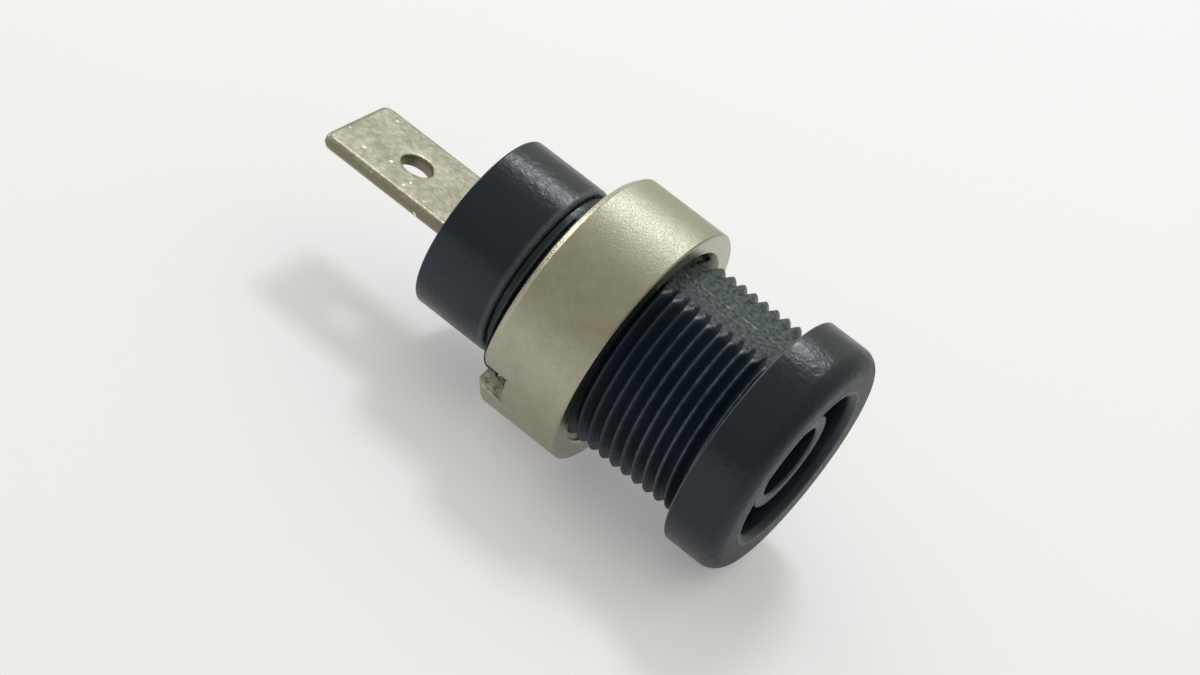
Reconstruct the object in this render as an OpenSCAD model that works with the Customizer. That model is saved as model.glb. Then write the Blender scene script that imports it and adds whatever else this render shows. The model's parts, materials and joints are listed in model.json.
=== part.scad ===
// Panel socket for 4 mm shrouded banana plugs, in millimetres.
// The origin is on the socket's axis, where the flange's rear face meets the panel.
// The plug goes in from -Y, the tab points along +Y, and the flats face up and down.

/* [Threaded shank] */
// Outside diameter of the thread
thread_d = 12; // [10:0.1:16]
// Length of the thread behind the flange
thread_len = 13.45; // [10:0.05:18]
// Pitch of the thread
thread_pitch = 0.75; // [0.5:0.05:1.5]
// Depth of the thread below its crests
thread_depth = 0.46; // [0.2:0.02:0.6]
// Distance from the panel seat to the thread's first crest
thread_start = 0.31; // [0.1:0.01:1]
// Least length of the plain ridge at the thread's end
thread_land = 0.2; // [0.1:0.05:0.5]
// Length of the relief groove between the thread and the rear cylinder
relief_len = 0.6; // [0.5:0.05:1.5]
// Depth of each of the two flats below the thread's crest
flat_depth = 0.7; // [0.2:0.05:1]
// Wall between the thread's crest and the recess inside it
shell_wall = 1.4; // [1.2:0.05:1.8]

/* [Flange] */
// How far the flange reaches out past the thread
flange_rim = 1.2; // [0.8:0.1:4]
// Thickness of the flange, from its front face to the panel
flange_t = 3.4; // [2.5:0.1:6]
// Radius of the flange's front edge
flange_front_r = 1.1; // [0.2:0.1:1.8]
// Radius of the flange's rear edge
flange_rear_r = 0.15; // [0.05:0.05:0.6]

/* [Rear body] */
// How far the plain rear cylinder lies below the thread's crest
rear_step = 0.6; // [0.5:0.05:0.8]
// Length of the plain rear cylinder
rear_len = 4.8; // [3:0.1:8]
// Radius of the rear cylinder's edge towards the thread
rear_front_r = 0.3; // [0.1:0.05:0.4]
// Radius of the rear cylinder's edge towards the tab
rear_edge_r = 0.15; // [0.05:0.05:1]
// Depth of the relief groove below the rear cylinder
relief_depth = 0.35; // [0.2:0.05:0.5]

/* [Plug recess] */
// Radius of the recess's mouth
recess_mouth_r = 0.5; // [0.1:0.1:0.7]
// Wall of the sleeve in the recess, round the contact
sleeve_wall = 0.54; // [0.5:0.01:0.9]
// How far the sleeve's face lies behind the flange's front face
sleeve_set_back = 0.55; // [0:0.05:2]
// Radius of the edges of the sleeve's face
sleeve_edge_r = 0.15; // [0.05:0.05:0.2]
// Radial play of the plug's pin in the sleeve's face
plug_hole_play = 0.2; // [0.05:0.05:0.4]
// Thickness of the web that closes the recess, ahead of the contact's collar
web_t = 1.9; // [1:0.1:4]

/* [Contact] */
// Diameter of the contact's bore
contact_bore_d = 4; // [3.6:0.1:4.4]
// Wall thickness of the contact tube
contact_wall = 0.5; // [0.4:0.05:0.6]
// How far the contact's mouth lies behind the flange's front face
contact_set_back = 4.1; // [3:0.1:8]
// Size of the lead-in chamfer at the contact's mouth
contact_lead = 0.3; // [0.1:0.05:0.35]
// Solid metal between the bore's floor and the tab's slot
tail_floor = 0.68; // [0.4:0.02:1.5]
// How far the collar at the tail's end stands out past the tube
collar_rim = 0.8; // [0.3:0.1:1.4]
// Thickness of the collar
collar_t = 1.2; // [0.6:0.1:1.8]

/* [Tab] */
// Width of the push-on tab
tab_w = 6.3; // [4.8:0.1:7]
// Thickness of the tab
tab_t = 0.8; // [0.5:0.1:1]
// Length of the tab behind the rear face
tab_len = 9.15; // [7:0.05:12]
// Radius of the corners at the tab's end
tab_corner_r = 0.6; // [0.2:0.1:1.5]
// Bevel along the tab's end that leads a receptacle on
tab_bevel = 0.2; // [0.05:0.05:0.25]
// Diameter of the wire hole in the tab
tab_hole_d = 1.9; // [1.4:0.1:2.4]
// Distance from the tab's end to the middle of the wire hole
tab_hole_from_end = 4.5; // [3:0.1:5.5]
// How far each edge of the tang lies inside the contact's tube
tang_inset = 0.6; // [0.2:0.1:1.2]
// Length of the tang
tang_len = 2; // [1:0.1:3]

/* [Ring nut] */
// Radial thickness of the nut outside its thread
nut_wall = 1.45; // [1:0.05:4]
// Length of the nut
nut_len = 5.5; // [3:0.05:6]
// Distance from the panel seat to the nut's front face
nut_at = 7.3; // [0.5:0.05:8]
// Radius of the nut's outer edges
nut_edge_r = 0.35; // [0.1:0.05:0.6]
// Chamfer at the ends of the nut's thread
nut_bore_chamfer = 0.3; // [0.1:0.05:0.5]
// Width of the two slots in the nut's rear face
slot_w = 2.1; // [1.5:0.1:3.5]
// Depth of the slots
slot_depth = 1.8; // [1:0.05:2.5]
// Turn of the nut, from the slots lying level
nut_turn = 26; // [0:1:179]

/* [Clearances] */
// Radial clearance between the thread and the nut
thread_gap = 0.05; // [0.02:0.01:0.1]
// Radial clearance between the contact and the housing
contact_gap = 0.02; // [0:0.01:0.05]
// Clearance round the tang in the contact's slot
tang_gap = 0.02; // [0:0.01:0.05]

/* [Hidden] */

$fn = 96;
cut_over = 1;

// Diameters, from the thread inwards and outwards and from the contact's bore outwards
flange_d = thread_d + 2 * flange_rim;
rear_d = thread_d - 2 * rear_step;
relief_d = rear_d - 2 * relief_depth;
across_flats = thread_d - 2 * flat_depth;
recess_d = thread_d - 2 * shell_wall;
nut_bore_d = thread_d + 2 * thread_gap;
nut_d = nut_bore_d + 2 * nut_wall;
contact_d = contact_bore_d + 2 * contact_wall;
contact_seat_d = contact_d + 2 * contact_gap;
sleeve_d = contact_seat_d + 2 * sleeve_wall;
plug_hole_d = contact_bore_d + 2 * plug_hole_play;
collar_d = contact_d + 2 * collar_rim;
collar_seat_d = collar_d + 2 * contact_gap;
tang_w = contact_d - 2 * tang_inset;

// Rings of thread between its first crest and its end
thread_count = floor((thread_len - thread_start - thread_land) / thread_pitch);

// Places along the axis, from the panel seat
front_y = -flange_t;
sleeve_face_y = front_y + sleeve_set_back;
contact_front_y = front_y + contact_set_back;
rear_front_y = thread_len + relief_len;
rear_y = rear_front_y + rear_len;
collar_seat_y = rear_y - collar_t;
recess_floor_y = collar_seat_y - web_t;
tang_slot_len = tang_len + tang_gap;
bore_floor_y = rear_y - tang_slot_len - tail_floor;
tab_end_y = rear_y + tab_len;
nut_end_y = nut_at + nut_len;

// Stands a profile, drawn as radius across and distance along Y upwards, round the Y axis.
module turned() {
    rotate([-90, 0, 0]) rotate_extrude() children();
}

// A rectangle of a turned profile, from radius to radius and from place to place along the axis.
module band(inner_r, outer_r, from_y, to_y) {
    translate([inner_r, from_y]) square([outer_r - inner_r, to_y - from_y]);
}

// What a rounded corner at the origin takes off a profile that lies on its +X, +Y side.
module corner_waste(radius) {
    difference() {
        translate([-cut_over, -cut_over]) square(radius + cut_over);
        translate([radius, radius]) circle(radius);
    }
}

// The same corner, placed at a point and turned to the side that the profile lies on.
module round_off(at, radius, side) {
    translate(at)
        mirror([side[0] < 0 ? 1 : 0, 0, 0])
            mirror([0, side[1] < 0 ? 1 : 0, 0])
                corner_waste(radius);
}

module flange_profile() {
    difference() {
        band(0, flange_d / 2, front_y, 0);
        round_off([flange_d / 2, front_y], flange_front_r, [-1, 1]);
        round_off([flange_d / 2, 0], flange_rear_r, [-1, -1]);
    }
}

// The thread drawn as rings of its pitch: a crest and a root for each.
function thread_points() = [
    for (i = [0 : thread_count - 1], half = [0, 1])
        [thread_d / 2 - half * thread_depth, thread_start + (i + half / 2) * thread_pitch]
];

module shank_profile() {
    polygon(concat(
        [[0, -flange_t / 2], [thread_d / 2, -flange_t / 2]],
        thread_points(),
        [
            [thread_d / 2, thread_start + thread_count * thread_pitch],
            [thread_d / 2, thread_len],
            [relief_d / 2, thread_len + relief_len / 3],
            [relief_d / 2, rear_front_y + rear_front_r],
            [0, rear_front_y + rear_front_r]
        ]
    ));
}

module rear_profile() {
    difference() {
        band(0, rear_d / 2, rear_front_y, rear_y);
        round_off([rear_d / 2, rear_front_y], rear_front_r, [-1, 1]);
        round_off([rear_d / 2, rear_y], rear_edge_r, [-1, -1]);
    }
}

// The ring of space round the sleeve, with its rounded mouth and the sleeve's set-back face.
module recess_profile() {
    difference() {
        union() {
            band(0, recess_d / 2, front_y - cut_over, recess_floor_y);
            band(0, recess_d / 2 + recess_mouth_r, front_y - cut_over, front_y + recess_mouth_r);
        }
        translate([recess_d / 2 + recess_mouth_r, front_y + recess_mouth_r]) circle(recess_mouth_r);
        sleeve_profile();
    }
}

module sleeve_profile() {
    difference() {
        band(plug_hole_d / 2, sleeve_d / 2, sleeve_face_y, recess_floor_y + cut_over);
        round_off([sleeve_d / 2, sleeve_face_y], sleeve_edge_r, [-1, 1]);
        round_off([plug_hole_d / 2, sleeve_face_y], sleeve_edge_r, [1, 1]);
    }
}

// The stepped hole that the contact is pressed into from the rear.
module contact_seat_profile() {
    band(0, plug_hole_d / 2, front_y - cut_over, rear_y);
    band(0, contact_seat_d / 2, contact_front_y, rear_y + cut_over);
    band(0, collar_seat_d / 2, collar_seat_y, rear_y + cut_over);
}

// The double flats that stop the socket turning in its panel hole.
module flats_waste() {
    for (side = [-1, 1])
        translate([0, rear_front_y / 2, side * (across_flats + thread_d) / 2])
            cube([thread_d, rear_front_y, thread_d], center = true);
}

module shank() {
    difference() {
        turned() shank_profile();
        flats_waste();
    }
}

module housing() {
    color([0.09, 0.11, 0.13]) difference() {
        union() {
            turned() flange_profile();
            shank();
            turned() rear_profile();
        }
        turned() recess_profile();
        turned() contact_seat_profile();
    }
}

module contact_profile() {
    difference() {
        union() {
            band(0, contact_d / 2, contact_front_y, rear_y);
            band(0, collar_d / 2, collar_seat_y, rear_y);
        }
        band(0, contact_bore_d / 2, contact_front_y - cut_over, bore_floor_y);
        polygon([
            [0, contact_front_y],
            [contact_bore_d / 2 + contact_lead, contact_front_y],
            [contact_bore_d / 2, contact_front_y + contact_lead],
            [0, contact_front_y + contact_lead]
        ]);
    }
}

// The sawn slot across the tail, which holds the tab's tang.
module tang_slot() {
    translate([0, rear_y + (cut_over - tang_slot_len) / 2, 0])
        cube([collar_d + cut_over, tang_slot_len + cut_over, tab_t + 2 * tang_gap], center = true);
}

module contact_socket() {
    color([0.72, 0.66, 0.5]) difference() {
        turned() contact_profile();
        tang_slot();
    }
}

module tab_outline() {
    difference() {
        union() {
            translate([-tab_w / 2, rear_y]) square([tab_w, tab_len]);
            translate([-tang_w / 2, rear_y - tang_len]) square([tang_w, tang_len + cut_over]);
        }
        for (side = [-1, 1])
            round_off([side * tab_w / 2, tab_end_y], tab_corner_r, [-side, -1]);
        translate([0, tab_end_y - tab_hole_from_end]) circle(tab_hole_d / 2);
    }
}

// The tab seen from its edge, along Y and Z, with both corners of its end bevelled.
module tab_edge_profile() {
    polygon([
        [rear_y - tang_len, -tab_t / 2],
        [tab_end_y - tab_bevel, -tab_t / 2],
        [tab_end_y, tab_bevel - tab_t / 2],
        [tab_end_y, tab_t / 2 - tab_bevel],
        [tab_end_y - tab_bevel, tab_t / 2],
        [rear_y - tang_len, tab_t / 2]
    ]);
}

module blade_tab() {
    color([0.7, 0.67, 0.57]) intersection() {
        translate([0, 0, -tab_t / 2]) linear_extrude(tab_t) tab_outline();
        translate([-tab_w / 2, 0, 0])
            rotate([90, 0, 90]) linear_extrude(tab_w) tab_edge_profile();
    }
}

module nut_profile() {
    bore_r = nut_bore_d / 2;
    difference() {
        polygon([
            [bore_r + nut_bore_chamfer, nut_at],
            [nut_d / 2, nut_at],
            [nut_d / 2, nut_end_y],
            [bore_r + nut_bore_chamfer, nut_end_y],
            [bore_r, nut_end_y - nut_bore_chamfer],
            [bore_r, nut_at + nut_bore_chamfer]
        ]);
        round_off([nut_d / 2, nut_at], nut_edge_r, [-1, 1]);
        round_off([nut_d / 2, nut_end_y], nut_edge_r, [-1, -1]);
    }
}

module ring_nut() {
    color([0.62, 0.6, 0.53]) difference() {
        turned() nut_profile();
        translate([0, nut_end_y + (cut_over - slot_depth) / 2, 0])
            rotate([0, -nut_turn, 0])
                cube([nut_d + cut_over, slot_depth + cut_over, slot_w], center = true);
    }
}

housing();
contact_socket();
blade_tab();
ring_nut();
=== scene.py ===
"""Looks of a panel socket for banana plugs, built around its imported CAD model.

Sizes are in mm and turned into metres where a mesh is made. A turn is an angle about
the socket's axis, from +Z towards +X. The plug goes in from -Y and the tab points along +Y.
"""

import json
import math

import bmesh
import bpy
import numpy as np
from mathutils import Matrix, Vector

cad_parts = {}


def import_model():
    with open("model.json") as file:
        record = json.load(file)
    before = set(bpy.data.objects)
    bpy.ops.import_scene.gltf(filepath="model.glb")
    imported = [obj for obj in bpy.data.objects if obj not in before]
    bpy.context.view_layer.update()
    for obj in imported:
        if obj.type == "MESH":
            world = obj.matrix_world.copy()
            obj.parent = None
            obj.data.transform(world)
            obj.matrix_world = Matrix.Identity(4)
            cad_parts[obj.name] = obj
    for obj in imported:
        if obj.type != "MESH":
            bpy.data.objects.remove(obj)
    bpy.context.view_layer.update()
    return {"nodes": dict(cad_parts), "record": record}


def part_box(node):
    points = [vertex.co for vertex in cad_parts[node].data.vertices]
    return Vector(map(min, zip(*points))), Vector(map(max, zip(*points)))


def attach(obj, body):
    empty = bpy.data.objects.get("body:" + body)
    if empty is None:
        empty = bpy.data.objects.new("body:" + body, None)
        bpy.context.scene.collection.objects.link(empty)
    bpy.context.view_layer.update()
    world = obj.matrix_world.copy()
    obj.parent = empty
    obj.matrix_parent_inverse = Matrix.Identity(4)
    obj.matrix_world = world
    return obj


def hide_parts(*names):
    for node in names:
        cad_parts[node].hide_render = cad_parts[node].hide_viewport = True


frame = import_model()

MM = 0.001


def extents(node):
    """Lowest and highest corner of a CAD node, in mm."""
    low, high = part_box(node)
    return np.round(np.array(low) / MM, 2), np.round(np.array(high) / MM, 2)


# Sizes that the frame gives
housing_low, housing_high = extents("housing")
nut_low, nut_high = extents("ring_nut")
tab_low, tab_high = extents("blade_tab")
mounts = {mount["name"]: mount for mount in frame["record"]["mounts"]}
FLANGE_R = housing_high[0]
FRONT_Y = housing_low[1]
REAR_Y = housing_high[1]
CONTACT_FRONT_Y = extents("contact_socket")[0][1]
CONTACT_BORE_R = mounts["plug_bore"]["dims"]["r_mm"]
PLUG_HOLE_R = mounts["plug_entry"]["dims"]["r_mm"]
NUT_R = nut_high[0]
NUT_FRONT_Y = nut_low[1]
NUT_REAR_Y = nut_high[1]
TAB_HALF_W = tab_high[0]
TAB_HALF_T = tab_high[2]
TAB_END_Y = tab_high[1]
TANG_Y = tab_low[1]
TAB_HOLE_R = mounts["tab_hole"]["dims"]["r_mm"]
TAB_HOLE_Y = mounts["tab_hole"]["pos_m"][1] / MM

# Flange and rear body
FLANGE_RIM = 1.2
FLANGE_FRONT_ROUND = 1.1
FLANGE_REAR_ROUND = 0.15
REAR_STEP = 0.6
REAR_LENGTH = 4.8
REAR_ROUND = 0.15
THREAD_R = FLANGE_R - FLANGE_RIM
REAR_R = THREAD_R - REAR_STEP
SHOULDER_Y = REAR_Y - REAR_LENGTH
SHOULDER_ROUND = 0.3

# Thread, its last plain ridge and the relief behind it
THREAD_PITCH = 0.75
THREAD_DEPTH = 0.43
THREAD_BLUNT = 0.09
RELIEF_LENGTH = 0.6
RELIEF_DEPTH = 0.35
RELIEF_CONE = 0.2
THREAD_END_Y = SHOULDER_Y - RELIEF_LENGTH
RELIEF_Y = THREAD_END_Y + RELIEF_CONE
RELIEF_R = REAR_R - RELIEF_DEPTH
LAST_RIDGE_Y = THREAD_END_Y - 0.03
LAST_RIDGE_HALF_W = 0.14
HELIX_END_Y = THREAD_END_Y - 0.2
CREST_Y = THREAD_END_Y - 0.39
CREST_TURN = math.radians(-57.7)
SHANK_ROUND = 0.07

# Flats and the parting seam along them
FLAT_DEPTH = 0.7
FLAT_Z = THREAD_R - FLAT_DEPTH
FLAT_ROUND = 0.34
SEAM_X = -0.1
SEAM_HALF_W = 0.11
SEAM_HEIGHT = 0.05

# The space inside the housing
SHELL_WALL = 1.4
SLEEVE_WALL = 0.54
SLEEVE_SET_BACK = 0.55
SLEEVE_ROUND = 0.15
CONTACT_WALL = 0.5
CONTACT_GAP = 0.02
COLLAR_RIM = 0.8
COLLAR_T = 1.2
WEB_T = 1.9
RECESS_R = THREAD_R - SHELL_WALL
RECESS_MOUTH_ROUND = 0.5
CONTACT_R = CONTACT_BORE_R + CONTACT_WALL
CONTACT_SEAT_R = CONTACT_R + CONTACT_GAP
COLLAR_SEAT_R = CONTACT_SEAT_R + COLLAR_RIM
COLLAR_SEAT_Y = REAR_Y - COLLAR_T
RECESS_FLOOR_Y = COLLAR_SEAT_Y - WEB_T
SLEEVE_R = CONTACT_SEAT_R + SLEEVE_WALL
SLEEVE_FACE_Y = FRONT_Y + SLEEVE_SET_BACK

# Rows of the housing, as shares of a pitch, and its columns, in degrees from a flat's middle:
# a stretch is its first and its last angle and how many columns it has
ROWS_IN_PITCH = (0, 0.05, 0.1, 0.18, 0.27, 0.38, 0.5, 0.62, 0.73, 0.82, 0.9, 0.95)
END_ROW_STEP = 0.03
SEAM_COLUMNS = (0, 0.4, 0.7, 1.05, 1.4, 1.75, 2.3, 3.5)
FLAT_STRETCH = (5, 12, 4)
CORNER_STRETCH = (12, 31, 30)
THREAD_STRETCH = (31, 90, 25)

# Ring nut
THREAD_GAP = 0.05
NUT_BORE_R = THREAD_R + THREAD_GAP
NUT_THREAD_DEPTH = 0.34
NUT_FRONT_CHAMFER = 0.09
NUT_FRONT_ROUND = 0.04
NUT_REAR_CHAMFER = 0.4
NUT_REAR_ROUND = 0.12
NUT_BORE_CHAMFER = 0.3
NUT_FACE_INNER_R = NUT_BORE_R + NUT_BORE_CHAMFER + 0.3
SLOT_HALF_W = 1.05
SLOT_DEPTH = 1.8
SLOT_FLOOR_Y = NUT_REAR_Y - SLOT_DEPTH
SLOT_TURN = math.radians(64)
SLOT_EDGE_ROUND = 0.1
SLOT_COLUMNS = 9
NEAR_WALL_SHARES = (0, 0.15, 0.4, 0.7, 1)
BORE_ROW_STEP = 0.075
NUT_COLUMN_STEP = math.radians(2)

# Tab
TAB_CORNER_ROUND = 0.6
TAB_SMALL_ROUND = 0.4
TAB_BEVEL = 0.3
TAB_EDGE_ROUND = 0.24
TAB_RIM = 0.36
TAB_HOLE_ROUND = 0.13
TANG_INSET = 0.6
TANG_HALF_W = CONTACT_R - TANG_INSET
TAB_STEP = 0.3
TAB_FACE_SHARES = (0.15, 0.4, 0.7)
TAB_ARC_POINTS = 5

# Wear and painted highlights: how far from an edge each mark fades in or out, and where the rubbed and
# the painted highlight lines lie
CREST_FADE = 0.06
FLAT_FADE = (-0.04, 0.06)
BURR_GLINT_OFFSET = 0.015
BURR_GLINT_HALF_W = 0.06
SHOULDER_FADE = (0.42, 0.27)
SHOULDER_RING = 0.5
MOUTH_LINE_R = RECESS_R + 0.42
MOUTH_RING_R = RECESS_R + RECESS_MOUTH_ROUND + 0.08
MOUTH_FADE = (0.108, 0.018)
RIM_LINE_Y = -0.05
RIM_FADE = (0.09, 0)
SLEEVE_FADE = (0.12, 0.02)
SAWN_MARGIN = 0.03
TAB_CUT_FADE = (0.22, 0.16)

ARC_STEP = math.radians(12)
MERGE_DISTANCE = 0.001 * MM
HOUSING_SHARP = math.radians(40)
METAL_SHARP = math.radians(35)


def rounded_path(corners, closed=False):
    """Points through corners of (across, along, radius), with an arc at each that has a radius."""
    points = []
    count = len(corners)
    for i, (across, along, radius) in enumerate(corners):
        here = np.array([across, along], float)
        at_end = not closed and i in (0, count - 1)
        if radius == 0 or at_end:
            points.append(here)
            continue
        back = np.array(corners[i - 1][:2]) - here
        ahead = np.array(corners[(i + 1) % count][:2]) - here
        back /= np.linalg.norm(back)
        ahead /= np.linalg.norm(ahead)
        half = math.acos(np.clip(back @ ahead, -1, 1)) / 2
        middle = here + (back + ahead) / np.linalg.norm(back + ahead) * radius / math.sin(half)
        first = here + back * radius / math.tan(half) - middle
        last = here + ahead * radius / math.tan(half) - middle
        start = math.atan2(first[1], first[0])
        sweep = math.atan2(last[1], last[0]) - start
        sweep = (sweep + math.pi) % (2 * math.pi) - math.pi
        steps = max(2, math.ceil(abs(sweep) / ARC_STEP - 0.01))
        for k in range(steps + 1):
            angle = start + sweep * k / steps
            points.append(middle + radius * np.array([math.cos(angle), math.sin(angle)]))
    return np.array(points)


def around(radius, turn, y):
    """Points at a radius, a turn and a place along the axis."""
    radius, turn, y = np.broadcast_arrays(radius, turn, y)
    return np.stack([radius * np.sin(turn), y, radius * np.cos(turn)], axis=-1)


def ramp(value, start, end):
    """0 up to the start, 1 from the end on, and in proportion between. The end may be the smaller."""
    return np.clip((value - start) / (end - start), 0, 1)


def grid_faces(rows, columns, offset, close_rows=False, close_columns=False):
    """Vertex numbers of the quads of a grid whose vertices run row by row."""
    faces = []
    for i in range(rows if close_rows else rows - 1):
        here = offset + i * columns
        below = offset + (i + 1) % rows * columns
        for j in range(columns if close_columns else columns - 1):
            beside = (j + 1) % columns
            faces.append([here + j, here + beside, below + beside, below + j])
    return faces


def mesh_object(name, points, faces, sharp_angle):
    """A closed mesh object in metres, with doubled points merged and normals facing out."""
    mesh = bpy.data.meshes.new(name)
    mesh.from_pydata((np.asarray(points) * MM).tolist(), [], faces)
    shape = bmesh.new()
    shape.from_mesh(mesh)
    bmesh.ops.remove_doubles(shape, verts=shape.verts, dist=MERGE_DISTANCE)
    bmesh.ops.dissolve_degenerate(shape, edges=shape.edges, dist=MERGE_DISTANCE)
    bmesh.ops.recalc_face_normals(shape, faces=shape.faces)
    shape.to_mesh(mesh)
    shape.free()
    mesh.shade_smooth()
    mesh.set_sharp_from_angle(angle=sharp_angle)
    piece = bpy.data.objects.new(name, mesh)
    bpy.context.scene.collection.objects.link(piece)
    return piece


def spots_of(piece):
    """Places of a piece's vertices, in mm."""
    mesh = piece.data
    spots = np.empty(len(mesh.vertices) * 3)
    mesh.vertices.foreach_get("co", spots)
    return spots.reshape(-1, 3).T / MM


def mark(piece, *parts):
    """Keeps up to four shares for each vertex as the piece's wear attribute."""
    colour = np.zeros((len(parts[0]), 4), np.float32)
    colour[:, :len(parts)] = np.stack(parts, axis=-1)
    # Holds real wear together with painted highlights and glints.
    wear_and_highlights = piece.data.attributes.new("wear_and_highlights", "FLOAT_COLOR", "POINT")
    wear_and_highlights.data.foreach_set("color", colour.ravel())


# Housing


def ridge(cycles):
    """A triangle wave with blunt tips: 1 at whole numbers of cycles, 0 halfway between."""
    tip = math.acos(1 - THREAD_BLUNT)
    swing = np.arccos((1 - THREAD_BLUNT) * np.cos(2 * math.pi * cycles))
    return (math.pi - tip - swing) / (math.pi - 2 * tip)


def thread_cycles(turn, y):
    """How many ridges a place on the shank is away from the first crest."""
    return (y - CREST_Y) / THREAD_PITCH - (turn - CREST_TURN) / (2 * math.pi)


def soft_min(a, b, blend):
    """The smaller of two lengths, rounded off where they are nearly the same."""
    share = np.clip(0.5 + 0.5 * (b - a) / blend, 0, 1)
    return b + (a - b) * share - blend * share * (1 - share)


def beating(y, long, short, shift=0.0):
    """An uneven wave along the axis, from -1 to 1, of two wavelengths multiplied."""
    return np.sin(2 * math.pi * y / long) * np.sin(2 * math.pi * y / short + shift)


def thread_radius(turn, y):
    """Radius of the thread, its last plain ridge and the cone down to the relief, before the flats."""
    thread = ridge(thread_cycles(turn, y))
    last = ridge(np.clip((y - LAST_RIDGE_Y) / LAST_RIDGE_HALF_W, -1, 1) / 2)
    radius = THREAD_R - THREAD_DEPTH * (1 - np.maximum(thread, last))
    slope = (THREAD_R - RELIEF_R) / RELIEF_CONE
    cone = THREAD_R - slope * (np.minimum(y, RELIEF_Y) - THREAD_END_Y)
    return soft_min(radius, cone, SHANK_ROUND)


def seam_height(x, y):
    """Height of the parting seam along each flat, which is beaded."""
    across = np.clip((x - SEAM_X) / SEAM_HALF_W, -1, 1)
    beads = 0.75 + 0.25 * beating(y, 0.9, 0.37)
    return SEAM_HEIGHT * (1 - across**2) * beads


def flat_radius(turn, y):
    """Distance from the axis to the flat and its seam, in the direction of a turn."""
    upright = np.maximum(np.abs(np.cos(turn)), 0.1)
    return (FLAT_Z + seam_height(FLAT_Z * np.sin(turn) / upright, y)) / upright


def shank_radius(turn, y):
    """Radius of the shank, where the flats cut the thread."""
    return soft_min(thread_radius(turn, y), flat_radius(turn, y), FLAT_ROUND)


def housing_turns():
    """Turns of the columns, closest together at the seams and where the thread meets the flats."""
    quarter = np.concatenate([
        SEAM_COLUMNS,
        np.linspace(*FLAT_STRETCH, endpoint=False),
        np.linspace(*CORNER_STRETCH, endpoint=False),
        np.linspace(*THREAD_STRETCH),
    ])
    half = np.concatenate([quarter, 180 - quarter[-2::-1]])
    return np.radians(np.concatenate([-half[:0:-1], half]))


def helix_rows(turns):
    """Rows of the thread, which follow its helix from the flange to the last plain ridge."""
    lead = (turns - CREST_TURN) / (2 * math.pi)
    first = math.floor(-CREST_Y / THREAD_PITCH - lead.max())
    last = math.ceil((HELIX_END_Y - CREST_Y) / THREAD_PITCH - lead.min())
    cycles = np.add.outer(np.arange(first, last), ROWS_IN_PITCH).ravel()
    y = np.clip(CREST_Y + THREAD_PITCH * np.add.outer(cycles, lead), 0, HELIX_END_Y)
    return around(shank_radius(turns, y), turns, y)


def turned_rings(turns):
    """Rings from the thread's end round the relief, the rear, the inside and the flange."""
    path = rounded_path([
        (RELIEF_R, RELIEF_Y, 0),
        (RELIEF_R, SHOULDER_Y, 0),
        (REAR_R, SHOULDER_Y, SHOULDER_ROUND),
        (REAR_R, SHOULDER_Y + SHOULDER_RING, 0),
        (REAR_R, REAR_Y, REAR_ROUND),
        (COLLAR_SEAT_R, REAR_Y, SLEEVE_ROUND),
        (COLLAR_SEAT_R, COLLAR_SEAT_Y, 0),
        (CONTACT_SEAT_R, COLLAR_SEAT_Y, 0),
        (CONTACT_SEAT_R, CONTACT_FRONT_Y, 0),
        (PLUG_HOLE_R, CONTACT_FRONT_Y, 0),
        (PLUG_HOLE_R, SLEEVE_FACE_Y, SLEEVE_ROUND),
        (SLEEVE_R, SLEEVE_FACE_Y, SLEEVE_ROUND),
        (SLEEVE_R, RECESS_FLOOR_Y, SLEEVE_ROUND),
        (RECESS_R, RECESS_FLOOR_Y, SLEEVE_ROUND),
        (RECESS_R, FRONT_Y, RECESS_MOUTH_ROUND),
        (MOUTH_RING_R, FRONT_Y, 0),
        (FLANGE_R, FRONT_Y, FLANGE_FRONT_ROUND),
        (FLANGE_R, 0, FLANGE_REAR_ROUND),
        (THREAD_R, 0, 0),
    ])
    end_count = round((RELIEF_Y - HELIX_END_Y) / END_ROW_STEP) + 1
    end_rows = np.linspace(HELIX_END_Y, RELIEF_Y, end_count)
    rings = [around(shank_radius(turns, y), turns, y) for y in end_rows]
    rings += [around(radius, turns, y) for radius, y in path[:-1]]
    rings.append(around(shank_radius(turns, 0.0), turns, 0.0))
    return np.stack(rings)


def thread_wear_and_highlights(x, y, z):
    """Shares of crest lightening, scuffed flat and bright burrs at places on the housing. The crests are
    lightened as abrasion and as a painted highlight, and dimmed towards the nut as painted shade; the
    burrs are painted bright as glints too.
    """
    radius = np.hypot(x, z)
    turn = np.arctan2(x, z)
    on_shank = (y > 0.02) & (y < THREAD_END_Y) & (radius > RECESS_R + 0.3)
    thread = thread_radius(turn, y)
    flat = flat_radius(turn, y)

    # The crests are lightened as wear and as a painted highlight, less and less towards the nut as
    # painted shade from it.
    height = (thread - (THREAD_R - THREAD_DEPTH)) / THREAD_DEPTH
    out_of_nut_shade = np.clip(1.25 - 0.15 * y, 0.12, 1)
    crest = np.clip(height, 0, 1) ** 8 * ramp(flat - thread, 0, CREST_FADE) * out_of_nut_shade
    cut = ramp(thread - flat, *FLAT_FADE)

    # Each ridge is burred where its side towards the flange runs out into the flat, and is painted
    # bright there as a glint as well, most on the half of each flat towards -X.
    cycles = thread_cycles(turn, y)
    from_crest = cycles - np.round(cycles)
    side = ramp(from_crest, 0.12, 0.02) * ramp(from_crest, -0.34, -0.24) * np.where(x < 0, 1, 0.15)
    burr_and_glint = np.exp(-(((thread - flat - BURR_GLINT_OFFSET) / BURR_GLINT_HALF_W) ** 2)) * side

    # The seam is bright in places.
    broken = np.clip(0.35 + beating(y, 1.9, 0.83, 0.6), 0, 1)
    seam = seam_height(x, y) / SEAM_HEIGHT * broken * (np.abs(z) > FLAT_Z - 0.1)
    burr_and_glint = np.maximum(burr_and_glint, 0.7 * seam)
    return crest * on_shank, cut * on_shank, burr_and_glint * on_shank


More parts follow.
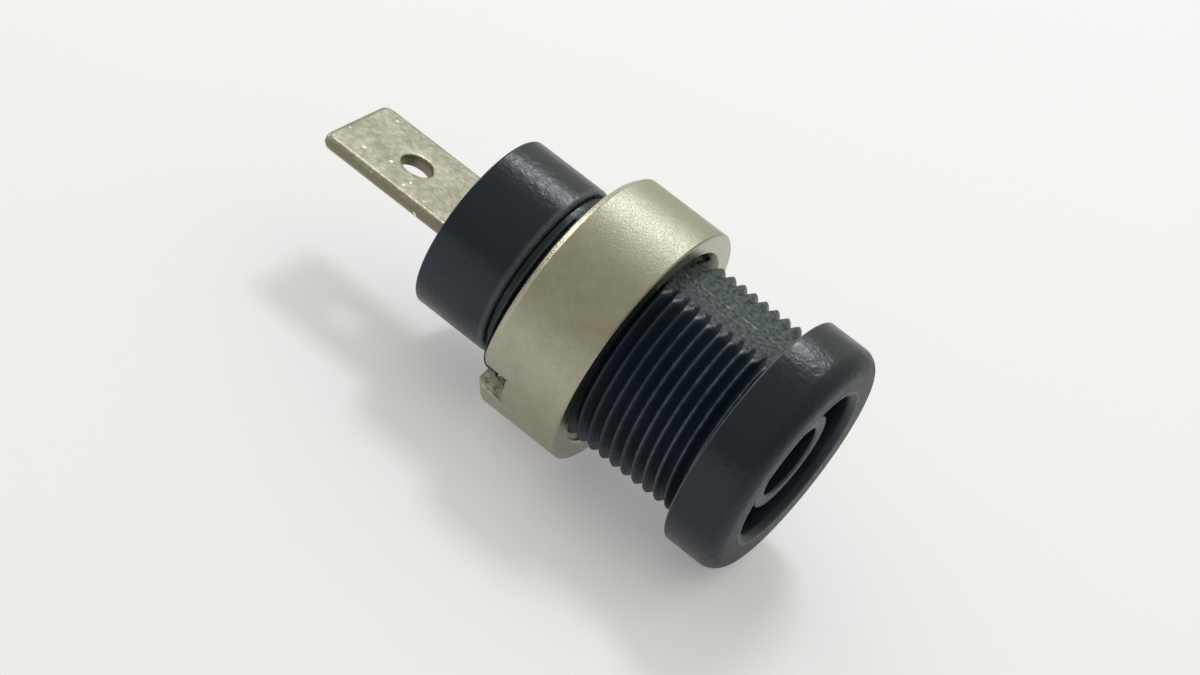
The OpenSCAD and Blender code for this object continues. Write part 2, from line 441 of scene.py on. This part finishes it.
def edge_wear_and_highlights(radius, y):
    """Share of rubbing on the shoulder and the sleeve, of painted highlight on the flange's rim and the
    mouth's edge, and of both on the last ridge.
    """
    shoulder = ramp(y - SHOULDER_Y, *SHOULDER_FADE) * (y > SHOULDER_Y + 0.03) * (radius > REAR_R - 0.2)
    last_ridge = (np.abs(y - LAST_RIDGE_Y) < 0.06) * (radius > THREAD_R - 0.15)
    rim = ramp(np.abs(y - RIM_LINE_Y), *RIM_FADE) * (radius > FLANGE_R - 0.12)
    mouth = ramp(np.abs(radius - MOUTH_LINE_R), *MOUTH_FADE) * (y < FRONT_Y + 0.2)
    on_round = np.abs(y - SLEEVE_FACE_Y - SLEEVE_ROUND / 2) < SLEEVE_ROUND / 2 - 0.01
    to_edge = np.minimum(np.abs(radius - SLEEVE_R), np.abs(radius - PLUG_HOLE_R))
    sleeve = ramp(to_edge, *SLEEVE_FADE) * on_round
    return np.max([0.6 * shoulder, 0.7 * last_ridge, rim, 0.7 * mouth, 0.4 * sleeve], axis=0)


def housing():
    turns = housing_turns()
    thread = helix_rows(turns)
    turned = turned_rings(turns)
    points = np.concatenate([thread.reshape(-1, 3), turned.reshape(-1, 3)])
    faces = grid_faces(len(thread), len(turns), 0)
    faces += grid_faces(len(turned), len(turns), len(thread) * len(turns))
    piece = mesh_object("housing_shell", points, faces, HOUSING_SHARP)
    x, y, z = spots_of(piece)
    mark(piece, *thread_wear_and_highlights(x, y, z), edge_wear_and_highlights(np.hypot(x, z), y))
    return piece


# Ring nut


def nut_bore_radius(turn, y):
    """Radius of the nut's thread, with the chamfers at its two ends."""
    thread = NUT_BORE_R + NUT_THREAD_DEPTH * ridge(thread_cycles(turn, y))
    from_end = np.minimum(y - NUT_FRONT_Y, NUT_REAR_Y - y)
    return np.maximum(thread, NUT_BORE_R + NUT_BORE_CHAMFER - from_end)


def nut_lower_path():
    """From the bore at the slots' floor, down and round the front face, and up the outside."""
    top = SLOT_FLOOR_Y - SLOT_EDGE_ROUND
    rows = math.ceil((top - NUT_FRONT_Y) / BORE_ROW_STEP)
    bore = [(NUT_BORE_R, y) for y in np.linspace(top, NUT_FRONT_Y, rows)]
    outside = rounded_path([
        (NUT_FACE_INNER_R, NUT_FRONT_Y, 0),
        (NUT_R - NUT_FRONT_CHAMFER, NUT_FRONT_Y, NUT_FRONT_ROUND),
        (NUT_R, NUT_FRONT_Y + NUT_FRONT_CHAMFER, NUT_FRONT_ROUND),
        (NUT_R, top, 0),
    ])
    return np.concatenate([bore, outside]), len(bore)


def nut_upper_path(inset):
    """From the outside at the slots' floor, up and over the rear face, and down the bore."""
    top = NUT_REAR_Y - inset
    rows = math.ceil((NUT_REAR_Y - SLOT_FLOOR_Y) / BORE_ROW_STEP)
    outside = rounded_path([
        (NUT_R - inset, SLOT_FLOOR_Y, 0),
        (NUT_R - inset, SLOT_FLOOR_Y + 0.5, 0),
        (NUT_R - inset, SLOT_FLOOR_Y + 1, 0),
        (NUT_R - inset, top - NUT_REAR_CHAMFER, NUT_REAR_ROUND),
        (NUT_R - NUT_REAR_CHAMFER - inset, top, NUT_REAR_ROUND),
        (NUT_FACE_INNER_R, top, 0),
    ])
    bore = [(NUT_BORE_R, y) for y in np.linspace(top, SLOT_FLOOR_Y, rows)]
    return np.concatenate([outside, bore]), len(bore)


def slot_floor_path(count):
    """So many points over a slot's floor, from the outside to the bore, closest at its rounded edges."""
    edge = SLOT_EDGE_ROUND
    line = rounded_path([
        (NUT_R, SLOT_FLOOR_Y - edge, 0),
        (NUT_R, SLOT_FLOOR_Y, edge),
        (NUT_BORE_R, SLOT_FLOOR_Y, edge),
        (NUT_BORE_R, SLOT_FLOOR_Y - edge, 0),
    ])
    lengths = np.concatenate([[0], np.cumsum(np.linalg.norm(np.diff(line, axis=0), axis=1))])
    shares = (1 - np.cos(np.pi * (np.arange(count) + 1) / (count + 1))) / 2
    places = shares * lengths[-1]
    return np.stack([np.interp(places, lengths, line[:, k]) for k in (0, 1)], axis=-1)


def nut_column(turn_of, inset, in_slot):
    """One column of the nut's grid, whose turn depends on the radius so that slot walls are parallel."""
    lower, lower_bore = nut_lower_path()
    upper, upper_bore = nut_upper_path(inset)
    if in_slot:
        upper = slot_floor_path(len(upper))
    path = np.concatenate([lower, upper])
    radius, y = path.T.copy()
    bore = np.zeros(len(path), bool)
    bore[:lower_bore] = True
    if not in_slot:
        bore[-upper_bore:] = True
    widened = nut_bore_radius(turn_of(radius), y) + np.where(y > SLOT_FLOOR_Y - 0.01, inset, 0)
    radius = np.where(bore, widened, radius)
    return around(radius, turn_of(radius), y)


def nut_columns():
    """All columns of the nut: across a slot, along the wall to the next slot, and the same again."""
    edge = SLOT_EDGE_ROUND
    wall_arc = (math.pi - 2 * math.asin(SLOT_HALF_W / NUT_R)) * NUT_R
    near_slot = np.array(NEAR_WALL_SHARES) * edge / wall_arc
    between = np.linspace(near_slot[-1], 1 - near_slot[-1], round(math.pi / NUT_COLUMN_STEP))
    shares = np.concatenate([near_slot, between[1:-1], 1 - near_slot[::-1]])
    columns = []
    for side in (SLOT_TURN, SLOT_TURN + math.pi):
        for across in np.linspace(-SLOT_HALF_W, SLOT_HALF_W, SLOT_COLUMNS):
            columns.append(nut_column(lambda r: side + np.arcsin(across / r), 0, True))
        for share in shares:
            from_slot = min(share, 1 - share) * wall_arc
            inset = edge - math.sqrt(max(0, edge**2 - max(0, edge - from_slot) ** 2))

            def turn_of(r):
                start = np.arcsin(SLOT_HALF_W / r)
                return side + start + (math.pi - 2 * start) * share

            columns.append(nut_column(turn_of, inset, False))
    return np.stack(columns)


def ring_nut():
    grid = nut_columns()
    faces = grid_faces(len(grid), grid.shape[1], 0, close_rows=True, close_columns=True)
    piece = mesh_object("slotted_nut", grid.reshape(-1, 3), faces, METAL_SHARP)
    x, y, z = spots_of(piece)
    chamfer_y = NUT_REAR_Y - NUT_REAR_CHAMFER
    at_front = ramp(y, NUT_FRONT_Y + 0.1, NUT_FRONT_Y)
    at_rear = ramp(y, chamfer_y - 0.04, chamfer_y)
    from_slot = np.abs(x * math.cos(SLOT_TURN) - z * math.sin(SLOT_TURN)) - SLOT_HALF_W
    sawn = (from_slot < SAWN_MARGIN) & (y > SLOT_FLOOR_Y - SAWN_MARGIN)
    mark(piece, np.zeros_like(y), np.maximum(at_front, at_rear) * ~sawn, sawn)
    return piece


# Tab


def tab_outline():
    """Points round the tab and its tang, with their directions inwards."""
    path = rounded_path([
        (TAB_HALF_W, TAB_END_Y, TAB_CORNER_ROUND),
        (-TAB_HALF_W, TAB_END_Y, TAB_CORNER_ROUND),
        (-TAB_HALF_W, REAR_Y, TAB_SMALL_ROUND),
        (-TANG_HALF_W, REAR_Y, TAB_SMALL_ROUND),
        (-TANG_HALF_W, TANG_Y, TAB_SMALL_ROUND),
        (TANG_HALF_W, TANG_Y, TAB_SMALL_ROUND),
        (TANG_HALF_W, REAR_Y, TAB_SMALL_ROUND),
        (TAB_HALF_W, REAR_Y, TAB_SMALL_ROUND),
    ], closed=True)
    points = []
    for here, ahead in zip(path, np.roll(path, -1, axis=0)):
        steps = max(1, round(np.linalg.norm(ahead - here) / TAB_STEP))
        points += [here + (ahead - here) * k / steps for k in range(steps)]
    points = np.array(points)
    along = np.roll(points, -1, axis=0) - np.roll(points, 1, axis=0)
    inward = np.stack([-along[:, 1], along[:, 0]], axis=-1)
    return points, inward / np.linalg.norm(inward, axis=1, keepdims=True)


def tab_rows(outline, inward):
    """Rows from the middle of the hole's wall over one face to the middle of the tab's edge."""
    centre = np.array([0, TAB_HOLE_Y])
    spokes = outline - centre
    spokes /= np.linalg.norm(spokes, axis=1, keepdims=True)
    quarter = np.radians(np.linspace(0, 90, TAB_ARC_POINTS))
    rows = []
    for a in quarter:
        reach = TAB_HOLE_R + TAB_HOLE_ROUND * (1 - math.cos(a))
        rows.append((centre + spokes * reach, TAB_HALF_T - TAB_HOLE_ROUND * (1 - math.sin(a))))

    # The edge is rounded more at the tab's end, as its bevel.
    at_end = np.maximum(0, -inward[:, 1:])
    edge_round = TAB_EDGE_ROUND + (TAB_BEVEL - TAB_EDGE_ROUND) * at_end
    near_hole = rows[-1][0]
    near_edge = outline + inward * edge_round
    for share in TAB_FACE_SHARES:
        rows.append((near_hole + (near_edge - near_hole) * share, TAB_HALF_T))
    rows.append((outline + inward * TAB_RIM, TAB_HALF_T))
    for a in quarter[::-1]:
        flat = outline + inward * edge_round * (1 - math.cos(a))
        rows.append((flat, TAB_HALF_T - edge_round[:, 0] * (1 - math.sin(a))))
    return rows


def blade_tab():
    outline, inward = tab_outline()
    rows = tab_rows(outline, inward)
    rings = []
    for side in (1, -1):
        for flat, height in rows[::side]:
            rings.append(np.column_stack([flat, side * np.broadcast_to(height, len(flat))]))
    faces = grid_faces(len(rings), len(outline), 0, close_rows=True, close_columns=True)
    piece = mesh_object("push_on_tab", np.concatenate(rings), faces, METAL_SHARP)
    x, y, z = spots_of(piece)
    from_hole = np.hypot(x, y - TAB_HOLE_Y) - TAB_HOLE_R
    cut = np.maximum(from_hole < 0.02, ramp(np.abs(z), *TAB_CUT_FADE))
    mark(piece, cut, (from_hole > 0.02) & (from_hole < 0.1))
    return piece


# Materials

POLYAMIDE_DARK = (0.003, 0.012, 0.026)
POLYAMIDE_LIGHT = (0.007, 0.019, 0.038)
WORN_AND_HIGHLIT_CREST = (0.17, 0.215, 0.26)
RUBBED_AND_HIGHLIT_EDGE = (0.22, 0.25, 0.27)
SCUFF_BLUE = (0.18, 0.2, 0.24)
SCUFF_GREEN = (0.16, 0.215, 0.205)
BURR_AND_GLINT = (0.66, 0.73, 0.8)
CUT_METAL = (0.24, 0.21, 0.15)
SAWN_METAL = (0.92, 0.91, 0.82)
GLINT_SPECK = (0.88, 0.87, 0.82)
FLAT_DULLER = 0.12
SHANK_DULLER = 0.14
FRONT_DULLER = 0.2
TURNED_GLOSSIER = 0.18
SAWN_DULLER = 0.15


class Nodes:
    """Short calls to add and link the nodes of one material or world."""

    def __init__(self, owner, shader="Principled BSDF", coordinates="Object"):
        owner.use_nodes = True
        self.owner = owner
        self.tree = owner.node_tree
        self.shader = self.tree.nodes[shader]
        self.place = self.add("ShaderNodeTexCoord").outputs[coordinates]

    def add(self, kind, **settings):
        node = self.tree.nodes.new(kind)
        for key, value in settings.items():
            setattr(node, key, value)
        return node

    def link(self, source, target):
        self.tree.links.new(source, target)

    def constant(self, socket, value):
        """Sets what is the same all over the surface, on the shader's own socket."""
        self.shader.inputs[socket].default_value = value

    def shade(self, socket, source):
        """Links what varies over the surface to the shader's socket."""
        self.link(source, self.shader.inputs[socket])

    def wear_and_highlights(self):
        """The four shares of a piece's wear attribute, all 0 where it has none."""
        wear_and_highlights = self.add("ShaderNodeAttribute", attribute_name="wear_and_highlights")
        parts = self.add("ShaderNodeSeparateColor")
        self.link(wear_and_highlights.outputs["Color"], parts.inputs["Color"])
        return [parts.outputs[part] for part in ("Red", "Green", "Blue")] + [wear_and_highlights.outputs["Alpha"]]

    def along(self, axis):
        """The place along one axis, in metres."""
        parts = self.add("ShaderNodeSeparateXYZ")
        self.link(self.place, parts.inputs["Vector"])
        return parts.outputs[axis]

    def noise(self, per_mm, detail=4.0, rough=0.5, stretch=(1, 1, 1)):
        """Noise with so many features to the mm, drawn out along the axes whose stretch is over 1."""
        mapping = self.add("ShaderNodeMapping")
        mapping.inputs["Scale"].default_value = [per_mm / MM / s for s in stretch]
        self.link(self.place, mapping.inputs["Vector"])
        node = self.add("ShaderNodeTexNoise")
        node.inputs["Scale"].default_value = 1.0
        node.inputs["Detail"].default_value = detail
        node.inputs["Roughness"].default_value = rough
        self.link(mapping.outputs["Vector"], node.inputs["Vector"])
        return node.outputs["Fac"]

    def spread(self, value, low, high, to_low=0.0, to_high=1.0):
        """The value, taken from one range to another and clamped to it."""
        node = self.add("ShaderNodeMapRange", clamp=True)
        node.inputs["From Min"].default_value = low
        node.inputs["From Max"].default_value = high
        node.inputs["To Min"].default_value = to_low
        node.inputs["To Max"].default_value = to_high
        self.link(value, node.inputs["Value"])
        return node.outputs["Result"]

    def math(self, operation, a, b):
        """One operation on two values, each a number or another node's output."""
        node = self.add("ShaderNodeMath", operation=operation)
        for socket, value in zip(node.inputs, (a, b)):
            if isinstance(value, (int, float)):
                socket.default_value = value
            else:
                self.link(value, socket)
        return node.outputs["Value"]

    def blend(self, share, first, second):
        """A colour between two, each a list of red, green and blue or another node's output."""
        node = self.add("ShaderNodeMix", data_type="RGBA")
        self.link(share, node.inputs["Factor"])
        for name, colour in (("A", first), ("B", second)):
            socket = next(s for s in node.inputs if s.name == name and s.type == "RGBA")
            if isinstance(colour, (list, tuple)):
                socket.default_value = (*colour, 1)
            else:
                self.link(colour, socket)
        return next(s for s in node.outputs if s.type == "RGBA")

    def bump(self, height, depth, strength=1.0, below=None):
        """A bump whose height of 1 stands for a depth in mm."""
        node = self.add("ShaderNodeBump")
        node.inputs["Strength"].default_value = strength
        node.inputs["Distance"].default_value = depth * MM
        self.link(height, node.inputs["Height"])
        if below is not None:
            self.link(below, node.inputs["Normal"])
        return node.outputs["Normal"]


def black_moulding():
    """Blue-black polyamide with a mottled gloss, scuffed on the flats, its crests and edges lightened as
    abrasion and as painted highlights, and its burrs painted bright as glints too.
    """
    nodes = Nodes(bpy.data.materials.new("black_moulding"))
    nodes.constant("Specular IOR Level", 0.42)
    crest, flat, burr_and_glint, edge = nodes.wear_and_highlights()
    cloud = nodes.noise(0.35, detail=3)
    mottle = nodes.noise(2.4, detail=4, rough=0.6)
    dimples = nodes.noise(2.6, detail=2, rough=0.5)
    grain = nodes.noise(8.0, detail=3)
    speckle = nodes.noise(3.4, detail=5, rough=0.72)
    scratch = nodes.noise(3.0, detail=4, rough=0.6, stretch=(1, 6, 1))

    colour = nodes.blend(cloud, POLYAMIDE_DARK, POLYAMIDE_LIGHT)
    # Crests are lightened as wear and as a painted highlight, dimmed towards the nut as painted shade.
    worn_and_highlit = nodes.math("MULTIPLY", crest, nodes.spread(mottle, 0.35, 0.65, 0.25, 0.9))
    colour = nodes.blend(worn_and_highlit, colour, WORN_AND_HIGHLIT_CREST)
    # Edges are lightened as rubbing, and as a painted highlight on the flange's rim, the mouth and the
    # last ridge.
    rubbed_and_highlit = nodes.math("MULTIPLY", edge, nodes.spread(speckle, 0.35, 0.65, 0.35, 0.85))
    colour = nodes.blend(rubbed_and_highlit, colour, RUBBED_AND_HIGHLIT_EDGE)

    # Each flat is bluer on one side of its seam and greener on the other.
    beyond_seam = nodes.spread(nodes.along("X"), (SEAM_X - 0.4) * MM, (SEAM_X + 0.4) * MM)
    scuff = nodes.blend(beyond_seam, SCUFF_BLUE, SCUFF_GREEN)
    streaks = nodes.spread(scratch, 0.6, 0.72, 0.0, 0.8)
    patchy = nodes.math("MAXIMUM", nodes.spread(speckle, 0.4, 0.64, 0.1, 1.0), streaks)
    colour = nodes.blend(nodes.math("MULTIPLY", flat, patchy), colour, scuff)
    # Burrs are painted bright, as burrs and as glints.
    bright = nodes.math("MULTIPLY", burr_and_glint, nodes.spread(mottle, 0.35, 0.55, 0.3, 1.0))
    colour = nodes.blend(bright, colour, BURR_AND_GLINT)
    nodes.shade("Base Color", colour)

    # The gloss is duller on the flats, on the shank and on the front face.
    y = nodes.along("Y")
    rough = nodes.spread(mottle, 0.35, 0.65, 0.26, 0.36)
    rough = nodes.math("ADD", rough, nodes.math("MULTIPLY", flat, FLAT_DULLER))
    behind_seat = nodes.spread(y, 0, 0.2 * MM, 0, SHANK_DULLER)
    before_shoulder = nodes.spread(y, THREAD_END_Y * MM, SHOULDER_Y * MM, SHANK_DULLER, 0.0)
    rough = nodes.math("ADD", rough, nodes.math("MINIMUM", before_shoulder, behind_seat))
    on_front = nodes.spread(y, (FRONT_Y + 0.1) * MM, (FRONT_Y + 1) * MM, FRONT_DULLER, 0.0)
    rough = nodes.math("ADD", rough, on_front)
    nodes.shade("Roughness", rough)

    uneven = nodes.bump(dimples, 0.035, 0.8)
    fine = nodes.bump(grain, 0.006, 0.6, below=uneven)
    pitted = nodes.bump(nodes.math("MULTIPLY", speckle, flat), 0.1, 1.0, below=fine)
    nodes.shade("Normal", pitted)
    return nodes.owner


def nickel(name, light, dark, rough, speckled=0.0):
    """Dull grainy nickel plate: smoother where it is turned, dark where cut, bright where sawn, and with
    painted glints where it is speckled.
    """
    nodes = Nodes(bpy.data.materials.new(name))
    nodes.constant("Metallic", 1.0)
    cut, turned, sawn, _ = nodes.wear_and_highlights()
    patches = nodes.noise(0.7, detail=5, rough=0.6)
    stains = nodes.noise(2.6, detail=4, rough=0.6)
    grain = nodes.noise(9.0, detail=3)

    mixed = nodes.math("ADD", nodes.math("MULTIPLY", patches, 0.5), nodes.math("MULTIPLY", stains, 0.5))
    colour = nodes.blend(nodes.spread(mixed, 0.4, 0.6), dark, light)
    colour = nodes.blend(cut, colour, CUT_METAL)
    fresh = nodes.math("MULTIPLY", sawn, nodes.spread(stains, 0.38, 0.55, 0.1, 1.0))
    colour = nodes.blend(fresh, colour, SAWN_METAL)
    # Small specks are painted bright as glints off dents.
    glint_specks = nodes.spread(nodes.noise(1.9, detail=1), 0.725, 0.75)
    colour = nodes.blend(nodes.math("MULTIPLY", glint_specks, speckled), colour, GLINT_SPECK)
    nodes.shade("Base Color", colour)

    gloss = nodes.spread(grain, 0.3, 0.7, rough - 0.06, rough + 0.06)
    gloss = nodes.math("SUBTRACT", gloss, nodes.math("MULTIPLY", turned, TURNED_GLOSSIER))
    gloss = nodes.math("ADD", gloss, nodes.math("MULTIPLY", sawn, SAWN_DULLER))
    nodes.shade("Roughness", gloss)
    fine = nodes.bump(grain, 0.018)
    waves = nodes.bump(patches, 0.02, 0.3, below=fine)
    nodes.shade("Normal", waves)
    return nodes.owner


# Stage, with its sizes in metres

FLOOR_REACH = 3.0
FLOOR_GLOW = 0.24
FLOOR_TINT = (0.98, 0.97, 1, 1)
FLOOR_TONES = ((0.88, 0.87, 0.94), (0.9, 0.89, 0.96))
ROOM_TINT = (1, 0.985, 0.8, 1)
LAMP_DISTANCE = 0.4
KEY_DIRECTION = (0.5, 0.25, 0.83)
KEY_SIZE = 0.085
KEY_BRIGHTNESS = 16.5
KEY_TINT = (0.9, 0.98, 1.04)
SIDE_DIRECTION = (0.35, 0.93, 0.12)
SIDE_SIZE = 0.16
SIDE_BRIGHTNESS = 3.5
WHITE = (1, 1, 1)


def floor_material():
    """Pale floor that keeps the shadow, lifted to white where it is seen or mirrored."""
    nodes = Nodes(bpy.data.materials.new("studio_floor"))
    nodes.constant("Roughness", 0.9)
    nodes.constant("Specular IOR Level", 0.0)
    nodes.constant("Emission Color", FLOOR_TINT)
    nodes.shade("Base Color", nodes.blend(nodes.noise(0.002, detail=1), *FLOOR_TONES))
    rays = nodes.add("ShaderNodeLightPath").outputs
    seen = nodes.math("MAXIMUM", rays["Is Camera Ray"], rays["Is Glossy Ray"])
    seen = nodes.math("MAXIMUM", seen, rays["Is Transmission Ray"])
    nodes.shade("Emission Strength", nodes.math("MULTIPLY", seen, FLOOR_GLOW))
    return nodes.owner


def floor():
    """A wide plate under the nut, which is the lowest piece."""
    height = -NUT_R * MM
    signs = ((-1, -1), (1, -1), (1, 1), (-1, 1))
    corners = [(x * FLOOR_REACH, y * FLOOR_REACH, height) for x, y in signs]
    mesh = bpy.data.meshes.new("floor")
    mesh.from_pydata(corners, [], [(0, 1, 2, 3)])
    mesh.materials.append(floor_material())
    plate = bpy.data.objects.new("floor", mesh)
    bpy.context.scene.collection.objects.link(plate)


def soft_lamp(name, direction, size, brightness, tint):
    """A square soft box that faces the socket's middle, with its brightness as a radiance."""
    lamp = bpy.data.lights.new(name, "AREA")
    lamp.shape = "SQUARE"
    lamp.size = size
    lamp.energy = brightness * math.pi * size**2
    lamp.color = tint
    box = bpy.data.objects.new(name, lamp)
    away = Vector(direction).normalized()
    middle = Vector((0, (FRONT_Y + TAB_END_Y) / 2 * MM, 0))
    facing = away.to_track_quat("Z", "Y").to_matrix()
    box.matrix_world = Matrix.Translation(middle + away * LAMP_DISTANCE) @ facing.to_4x4()
    bpy.context.scene.collection.objects.link(box)


def world():
    """A room that is lighter above and towards +X, and dimmer on the plug's side."""
    nodes = Nodes(bpy.data.worlds.new("studio"), "Background", "Generated")
    nodes.constant("Color", ROOM_TINT)
    above = nodes.spread(nodes.along("Z"), -0.05, 0.5, 0.2, 0.5)
    beside = nodes.spread(nodes.along("X"), -0.2, 0.8, 0.0, 0.25)
    in_front = nodes.spread(nodes.along("Y"), -0.9, -0.1, -0.15, 0.0)
    light = nodes.math("ADD", nodes.math("ADD", above, beside), in_front)
    nodes.shade("Strength", light)
    bpy.context.scene.world = nodes.owner


# Camera, as fitted to the photograph's outline: its place in mm, and how it is turned from
# looking straight down, first rolled about its own line of sight, then tilted, then turned
CAMERA_AT = (-165.012, -38.081, 104.396)
CAMERA_ROLL = math.radians(29.229)
CAMERA_TILT = math.radians(58.432)
CAMERA_TURN = math.radians(-73.85)
CAMERA_LENS = 112.19
CAMERA_SENSOR = 36
CAMERA_CLIP = 1 * MM


def camera():
    eye = bpy.data.objects.new("camera", bpy.data.cameras.new("camera"))
    eye.data.sensor_width = CAMERA_SENSOR
    eye.data.lens = CAMERA_LENS
    eye.data.clip_start = CAMERA_CLIP
    tilted = Matrix.Rotation(CAMERA_TILT, 4, "X") @ Matrix.Rotation(CAMERA_ROLL, 4, "Z")
    facing = Matrix.Rotation(CAMERA_TURN, 4, "Z") @ tilted
    eye.matrix_world = Matrix.Translation(Vector(CAMERA_AT) * MM) @ facing
    bpy.context.scene.collection.objects.link(eye)
    bpy.context.scene.camera = eye


def dress(piece, body, node, material):
    """Stands a piece in for a CAD node, on its body and with its finish."""
    piece.data.materials.append(material)
    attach(piece, body)
    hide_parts(node)


dress(housing(), "socket", "housing", black_moulding())
nut_plate = nickel("nickel_nut", (0.475, 0.455, 0.365), (0.42, 0.4, 0.32), 0.48)
dress(ring_nut(), "nut", "ring_nut", nut_plate)
tab_plate = nickel("plated_tab", (0.49, 0.47, 0.395), (0.31, 0.29, 0.23), 0.45, speckled=1.0)
dress(blade_tab(), "socket", "blade_tab", tab_plate)
contact_plate = nickel("plated_contact", (0.58, 0.53, 0.41), (0.5, 0.46, 0.35), 0.28)
frame["nodes"]["contact_socket"].material_slots[0].material = contact_plate

floor()
world()
soft_lamp("key", KEY_DIRECTION, KEY_SIZE, KEY_BRIGHTNESS, KEY_TINT)
soft_lamp("left", SIDE_DIRECTION, SIDE_SIZE, SIDE_BRIGHTNESS, WHITE)
camera()

bpy.context.scene.view_settings.view_transform = "Standard"
